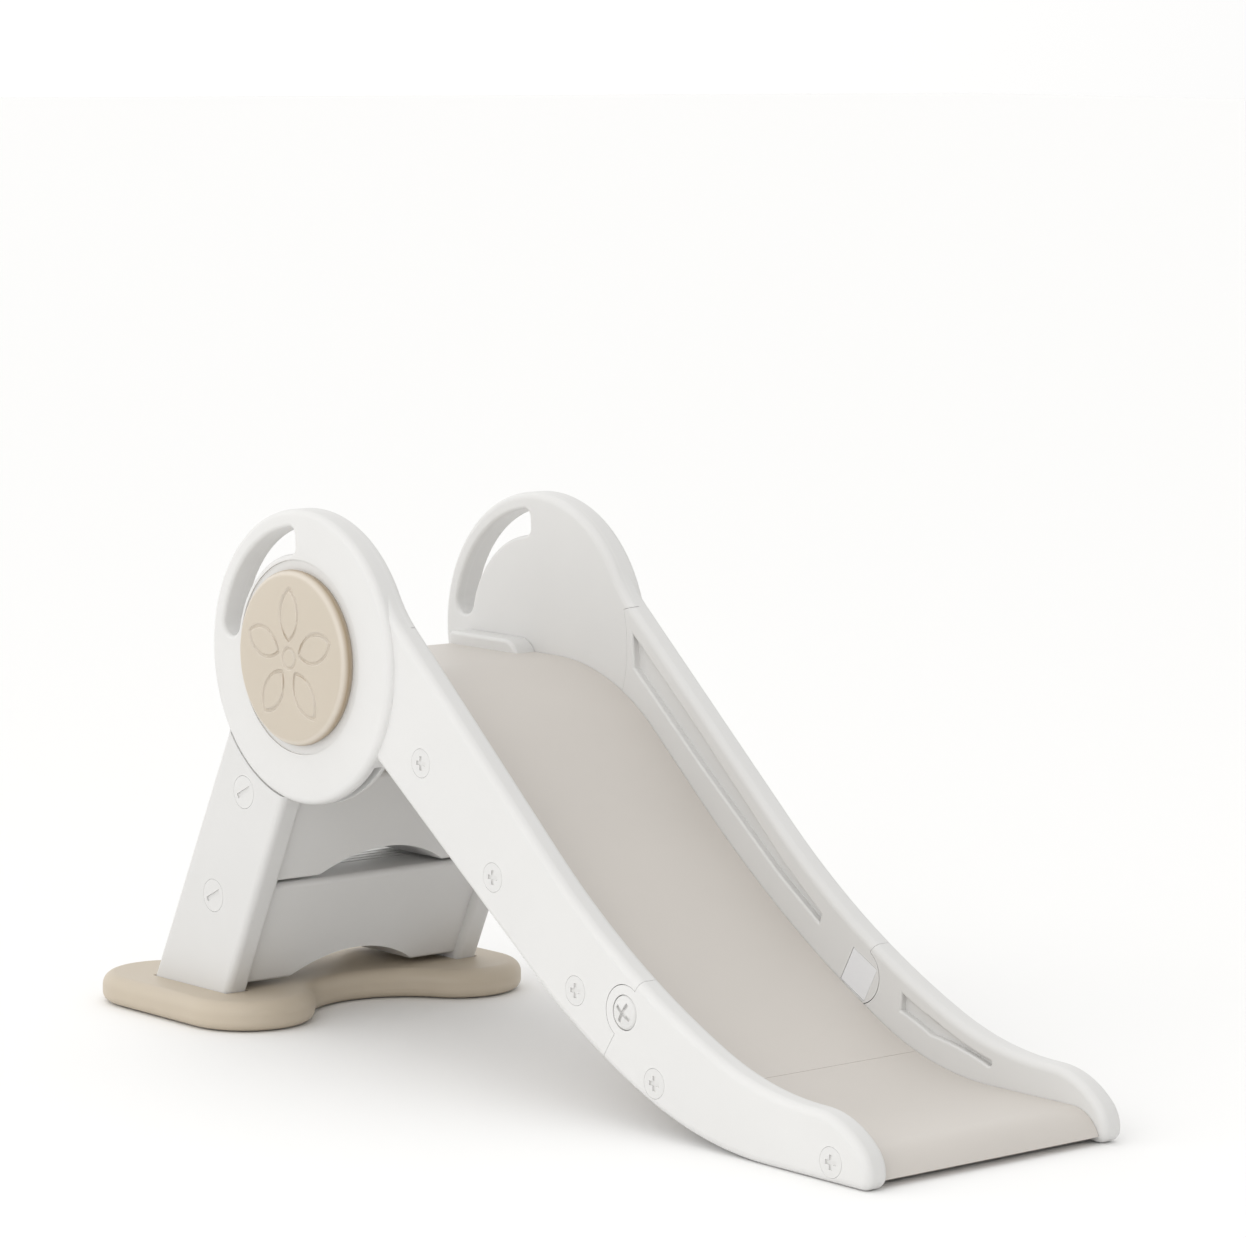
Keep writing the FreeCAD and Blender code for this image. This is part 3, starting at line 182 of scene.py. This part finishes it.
def soft_light(name, place, aim, size, power, colour):
    """A large square area light aimed at a point."""
    data = bpy.data.lights.new(name, "AREA")
    data.shape = "SQUARE"
    data.size = size
    data.energy = power
    data.color = colour
    light = bpy.data.objects.new(name, data)
    light.location = place
    light.rotation_mode = "QUATERNION"
    light.rotation_quaternion = (Vector(aim) - Vector(place)).to_track_quat("-Z", "Y")
    bpy.context.scene.collection.objects.link(light)


def make_surround():
    """A white surround that is brighter on one side."""
    scene = bpy.context.scene
    scene.world = bpy.data.worlds.new("studio")
    scene.world.use_nodes = True
    tree = scene.world.node_tree
    background = tree.nodes["Background"]
    background.inputs["Color"].default_value = (*SURROUND_COLOUR, 1)
    direction = add_node(tree, "ShaderNodeTexCoord").outputs["Generated"]
    facing = add_node(tree, "ShaderNodeVectorMath", operation="DOT_PRODUCT")
    facing.inputs[1].default_value = BRIGHT_SIDE
    tree.links.new(direction, facing.inputs[0])
    strength = remap(tree, facing.outputs["Value"], -1, 1, *SURROUND_STRENGTH)
    tree.links.new(strength, background.inputs["Strength"])


def make_floor():
    """A broad sheet of pale, matt paper just under the slide."""
    mesh = bpy.data.meshes.new("floor")
    shape = bmesh.new()
    bmesh.ops.create_grid(shape, x_segments=8, y_segments=8, size=FLOOR_HALF_WIDTH)
    shape.to_mesh(mesh)
    shape.free()
    floor = bpy.data.objects.new("floor", mesh)
    floor.location.z = -FLOOR_DROP
    bpy.context.scene.collection.objects.link(floor)
    material, shader, tree = new_material("floor_paper", FLOOR_COLOUR, FLOOR_ROUGHNESS)
    texture = add_node(tree, "ShaderNodeTexNoise", {"Scale": FLOOR_NOISE_SCALE, "Detail": 3.0})
    uneven = remap(tree, texture.outputs["Fac"], 0.0, 1.0,
                   FLOOR_ROUGHNESS - FLOOR_ROUGHNESS_SWING,
                   FLOOR_ROUGHNESS + FLOOR_ROUGHNESS_SWING)
    tree.links.new(uneven, shader.inputs["Roughness"])
    mesh.materials.append(material)


def make_studio():
    """The surround, a soft key from the left, a fill from the exit's side, and the floor."""
    bpy.context.scene.view_settings.view_transform = "Standard"
    make_surround()
    soft_light("key", KEY_PLACE, KEY_AIM, KEY_SIZE, KEY_POWER, KEY_COLOUR)
    soft_light("fill", FILL_PLACE, FILL_AIM, FILL_SIZE, FILL_POWER, FILL_COLOUR)
    make_floor()


# ---------------------------------------------------------------- materials

PANEL = (0.69, 0.685, 0.673)
BED = (0.605, 0.57, 0.53)
CAP = (0.54, 0.478, 0.392)
# painted highlight for the rounded band where the cap's face turns into its rim
CAP_SHOULDER_HIGHLIGHT = (0.66, 0.60, 0.52)
# painted shade for the cap's near-upright rim wall
CAP_FOOT_SHADE = (0.34, 0.25, 0.15)
BASE = (0.52, 0.45, 0.355)
PLATE = (0.78, 0.785, 0.80)
BUSH = (0.80, 0.79, 0.75)
RUBBER = (0.05, 0.05, 0.052)
STEEL = (0.56, 0.56, 0.54)

# noise scales are per metre; heights and radii are in metres
NOISE_SPAN = (0.3, 0.7)
CLOUD_SCALE = 5.0
SPECKLE_SCALE = 620.0
SPECKLE_SPAN = (0.66, 0.8)
SPECKLE_STRENGTH = 0.25
SPECKLE_SHADE = 0.93
WAVE_SCALE = 34.0
WAVE_STRENGTH = 0.16
WAVE_HEIGHT = 0.0006
GRAIN_SCALE = 1500.0
GRAIN_HEIGHT = 0.00012
EDGE_RADIUS = 0.003
EDGE_TURN_SPAN = (0.995, 0.86)
PLASTIC_SPECULAR = 0.45
SMOOTHER = -0.05
ROUGHER = 0.06

# how square the cap faces the side, from 1 on its face to 0 on its wall; a painted highlight sits where the face
# rounds over and painted shade on the near-upright wall
SHOULDER_HIGHLIGHT_SPAN = (0.985, 0.86)
SHOULDER_HIGHLIGHT_STRENGTH = 0.75
FOOT_SHADE_SPAN = (0.70, 0.12)
FOOT_SHADE_STRENGTH = 0.85
CAP_SPECULAR = 0.55

STEEL_ROUGHNESS = 0.35
STEEL_ROUGHNESS_SPAN = (0.26, 0.46)
STEEL_DULL = 0.85
STEEL_BRIGHT = 1.12
STEEL_MARK_SCALE = 320.0
STEEL_MARK_STRETCH = (1, 12, 1)
STEEL_MARK_STRENGTH = 0.25
STEEL_MARK_HEIGHT = 0.0002
STEEL_PATCH_SCALE = 90.0


def edge_mask(tree):
    """0 on broad faces and 1 on worn edges, from how far a rounded normal turns away."""
    rounded = add_node(tree, "ShaderNodeBevel", {"Radius": EDGE_RADIUS}, samples=4)
    geometry = add_node(tree, "ShaderNodeNewGeometry")
    dot = add_node(tree, "ShaderNodeVectorMath", operation="DOT_PRODUCT")
    tree.links.new(rounded.outputs["Normal"], dot.inputs[0])
    tree.links.new(geometry.outputs["Normal"], dot.inputs[1])
    return remap(tree, dot.outputs["Value"], *EDGE_TURN_SPAN, 0.0, 1.0)


def moulded_plastic(name, colour, roughness=0.42, grain=0.2, wear=1.04, mottle=0.018):
    """Blow-moulded plastic: faint mottling, a slow waviness, a fine grain and handled edges."""
    material, shader, tree = new_material(name, colour, roughness)
    coordinates = add_node(tree, "ShaderNodeTexCoord").outputs["Object"]
    cloud = noise(tree, coordinates, CLOUD_SCALE, detail=4.0, roughness=0.55)
    speckle = noise(tree, coordinates, SPECKLE_SCALE)
    wave = noise(tree, coordinates, WAVE_SCALE, detail=1.0)
    grains = noise(tree, coordinates, GRAIN_SCALE)

    base = mix_colour(tree, remap(tree, cloud, *NOISE_SPAN, 0.0, 1.0),
                      shade(colour, 1 - mottle), shade(colour, 1 + mottle))
    speckled = mix_colour(tree, remap(tree, speckle, *SPECKLE_SPAN, 0.0, SPECKLE_STRENGTH),
                          base, shade(colour, SPECKLE_SHADE))
    worn = mix_colour(tree, edge_mask(tree), speckled, shade(colour, wear))
    tree.links.new(worn, shader.inputs["Base Color"])
    tree.links.new(remap(tree, cloud, *NOISE_SPAN, roughness + SMOOTHER, roughness + ROUGHER),
                   shader.inputs["Roughness"])
    shader.inputs["Specular IOR Level"].default_value = PLASTIC_SPECULAR

    slow = bump(tree, wave, WAVE_STRENGTH, WAVE_HEIGHT)
    fine = bump(tree, grains, grain, GRAIN_HEIGHT, under=slow)
    tree.links.new(fine, shader.inputs["Normal"])
    return material


def cap_material(name, colour):
    """Moulded plastic with a painted highlight on the rounded band of the cap's face and painted shade on its
    near-upright rim wall.
    """
    material = moulded_plastic(name, colour, roughness=0.34, grain=0.16, wear=1.06, mottle=0.02)
    tree = material.node_tree
    shader = tree.nodes["Principled BSDF"]
    painted = shader.inputs["Base Color"].links[0].from_socket
    geometry = add_node(tree, "ShaderNodeNewGeometry")
    split = add_node(tree, "ShaderNodeSeparateXYZ")
    tree.links.new(geometry.outputs["Normal"], split.inputs["Vector"])
    squareness = add_node(tree, "ShaderNodeMath", operation="ABSOLUTE")
    tree.links.new(split.outputs["Y"], squareness.inputs[0])
    # painted highlight where the face rounds over into the rim
    painted_highlight = remap(tree, squareness.outputs[0], *SHOULDER_HIGHLIGHT_SPAN, 0.0, SHOULDER_HIGHLIGHT_STRENGTH)
    with_shoulder_highlight = mix_colour(tree, painted_highlight, painted, CAP_SHOULDER_HIGHLIGHT)
    # painted shade on the near-upright rim wall
    foot_shade = remap(tree, squareness.outputs[0], *FOOT_SHADE_SPAN, 0.0, FOOT_SHADE_STRENGTH)
    tree.links.new(mix_colour(tree, foot_shade, with_shoulder_highlight, CAP_FOOT_SHADE), shader.inputs["Base Color"])
    shader.inputs["Specular IOR Level"].default_value = CAP_SPECULAR
    return material


def plated_steel(name, colour):
    """Zinc-plated steel with fine turning marks and dull patches."""
    material, shader, tree = new_material(name, colour, STEEL_ROUGHNESS, metallic=1.0)
    coordinates = add_node(tree, "ShaderNodeTexCoord").outputs["Object"]
    stretch = add_node(tree, "ShaderNodeMapping", {"Scale": STEEL_MARK_STRETCH})
    tree.links.new(coordinates, stretch.inputs["Vector"])
    marks = noise(tree, stretch.outputs["Vector"], STEEL_MARK_SCALE, detail=3.0)
    patches = noise(tree, coordinates, STEEL_PATCH_SCALE, detail=3.0)
    tint = mix_colour(tree, patches, shade(colour, STEEL_DULL), shade(colour, STEEL_BRIGHT))
    tree.links.new(tint, shader.inputs["Base Color"])
    tree.links.new(remap(tree, patches, *NOISE_SPAN, *STEEL_ROUGHNESS_SPAN),
                   shader.inputs["Roughness"])
    turned = bump(tree, marks, STEEL_MARK_STRENGTH, STEEL_MARK_HEIGHT)
    tree.links.new(turned, shader.inputs["Normal"])
    return material


def make_materials():
    """One material for each of the record's slots."""
    plastics = {
        "panel_plastic": {"colour": PANEL},
        "leg_plastic": {"colour": shade(PANEL, 0.955), "roughness": 0.44},
        "fastener_plastic": {"colour": shade(PANEL, 0.97), "roughness": 0.38},
        "bed_plastic": {"colour": BED, "roughness": 0.46, "grain": 0.28},
        "base_plastic": {"colour": BASE, "roughness": 0.45, "grain": 0.28, "wear": 1.07,
                         "mottle": 0.025},
        "plate_plastic": {"colour": PLATE, "roughness": 0.4},
        "bush_plastic": {"colour": BUSH, "roughness": 0.35},
        "pad_rubber": {"colour": RUBBER, "roughness": 0.72, "grain": 0.8, "wear": 1.5,
                       "mottle": 0.1},
    }
    materials = {slot: moulded_plastic(slot, **finish) for slot, finish in plastics.items()}
    materials["cap_plastic"] = cap_material("cap_plastic", CAP)
    materials["steel"] = plated_steel("steel", STEEL)
    return materials


def dress_frame(materials):
    """Give every CAD node the material of its slot."""
    for entry in frame["record"]["subparts"]:
        node = frame["nodes"][entry["node"]]
        for place in node.material_slots:
            place.material = materials[entry["material_slot"]]


# ---------------------------------------------------------------- medallions

# the cap's outline, as in the CAD model
CAP_RADIUS = 0.100
CAP_RISE = 0.0145
CAP_FLAT = 0.055
CAP_RIM = 0.009
CAP_WAIST = 0.004
CAP_TUCK = 0.002
CAP_SEAT = 0.002
CAP_WALL = 0.003
CAP_UNDERSIDE = 0.0105

# the engraving
PETALS = 5
HUB_RADIUS = 0.0115
PETAL_START = 0.020
PETAL_END = 0.079
PETAL_HALF_WIDTH = 0.016
GROOVE_HALF_WIDTH = 0.0022
GROOVE_DEPTH = 0.0026
GROOVE_STEEPNESS = 1.9
ARC_STEPS = 36

# the mesh
FACE_RINGS = 128
RIM_STEPS = 12
SPOKES = 440


def arc_points(centre, radius, start, end):
    """Points along an arc, from one angle to another."""
    points = []
    for i in range(ARC_STEPS + 1):
        angle = math.radians(start + (end - start) * i / ARC_STEPS)
        points.append((centre[0] + radius * math.cos(angle),
                       centre[1] + radius * math.sin(angle)))
    return points


def motif():
    """The engraved lines: a small ring with equal pointed petals about it, each of two arcs."""
    half_length = (PETAL_END - PETAL_START) / 2
    radius = (half_length ** 2 + PETAL_HALF_WIDTH ** 2) / (2 * PETAL_HALF_WIDTH)
    spread = math.degrees(math.asin(half_length / radius))
    middle = PETAL_START + half_length
    lines = [arc_points((0, 0), HUB_RADIUS, 0, 360)]
    for i in range(PETALS):
        turn = 90 + 360 / PETALS * i
        along = Vector((math.cos(math.radians(turn)), math.sin(math.radians(turn))))
        across = Vector((-along.y, along.x))
        for side in (-1, 1):
            centre = along * middle - across * side * (radius - PETAL_HALF_WIDTH)
            facing = turn + 90 * side
            lines.append(arc_points(centre, radius, facing - spread, facing + spread))
    return lines


def groove_depths(x, z):
    """How deep the engraving is at each of many points."""
    nearest = np.full(x.shape, 1.0)
    for line in motif():
        for (ax, az), (bx, bz) in zip(line[:-1], line[1:]):
            dx = bx - ax
            dz = bz - az
            along = ((x - ax) * dx + (z - az) * dz) / (dx * dx + dz * dz)
            along = np.clip(along, 0, 1)
            nearest = np.minimum(nearest, np.hypot(x - ax - dx * along, z - az - dz * along))
    cut = np.clip(1 - (nearest / GROOVE_HALF_WIDTH) ** 2, 0, None)
    return GROOVE_DEPTH * np.minimum(1.0, GROOVE_STEEPNESS * cut)


def cap_profile():
    """The cap from its middle to its seat and inner edge, as (radius, height) pairs."""
    flat_end = CAP_RADIUS - CAP_RIM
    slope_drop = CAP_RISE - CAP_WAIST - CAP_RIM
    profile = []
    for i in range(1, FACE_RINGS + 1):
        radius = flat_end * i / FACE_RINGS
        slope = max(0.0, radius - CAP_FLAT) / (flat_end - CAP_FLAT)
        profile.append((radius, CAP_RISE - slope_drop * slope ** 2))
    for i in range(1, RIM_STEPS + 1):
        turn = math.pi / 2 * i / RIM_STEPS
        profile.append((flat_end + CAP_RIM * math.sin(turn), CAP_WAIST + CAP_RIM * math.cos(turn)))
    foot = CAP_RADIUS - CAP_TUCK
    profile += [(foot, 0.0), (foot, -CAP_SEAT), (foot - CAP_WALL, -CAP_SEAT),
                (foot - CAP_WALL, CAP_UNDERSIDE)]
    return profile


def medallion_mesh(name, sign):
    """Rings of points turned about the pivot axis, closed by a fan in front and a flat behind."""
    profile = cap_profile()
    radius = np.array([p[0] for p in profile])[:, None]
    height = np.array([p[1] for p in profile])[:, None]
    angle = np.linspace(0, 2 * math.pi, SPOKES, endpoint=False)[None, :]
    x = radius * np.cos(angle)
    z = radius * np.sin(angle)
    depth = groove_depths(x, z)
    depth[FACE_RINGS:] = 0
    y = sign * (HEAD_FACE_Y + height - depth)

    shape = bmesh.new()
    middle = shape.verts.new((PIVOT.x, sign * (HEAD_FACE_Y + CAP_RISE), PIVOT.z))
    rows = []
    for i in range(len(profile)):
        rows.append([shape.verts.new((PIVOT.x + x[i, k], y[i, k], PIVOT.z + z[i, k]))
                     for k in range(SPOKES)])
    for k in range(SPOKES):
        after = (k + 1) % SPOKES
        shape.faces.new((middle, rows[0][k], rows[0][after]))
        for inner, outer in zip(rows[:-1], rows[1:]):
            shape.faces.new((inner[k], outer[k], outer[after], inner[after]))
    back = shape.faces.new(rows[-1])
    for face in shape.faces:
        face.smooth = face != back
    bmesh.ops.recalc_face_normals(shape, faces=shape.faces)
    mesh = bpy.data.meshes.new(name)
    shape.to_mesh(mesh)
    shape.free()
    return mesh


def make_medallion(side_name, material):
    """A domed cap with engraved lines, dense enough for the grooves to be real geometry."""
    name = "medallion_" + side_name
    mesh = medallion_mesh(name, SIDES[side_name])
    mesh.materials.append(material)
    piece = bpy.data.objects.new(name, mesh)
    bpy.context.scene.collection.objects.link(piece)
    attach(piece, "slide")
    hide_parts("medallion_cap_" + side_name)


# ---------------------------------------------------------------- the scene

make_camera()
make_studio()
slot_materials = make_materials()
dress_frame(slot_materials)
for side in SIDES:
    make_medallion(side, slot_materials["cap_plastic"])
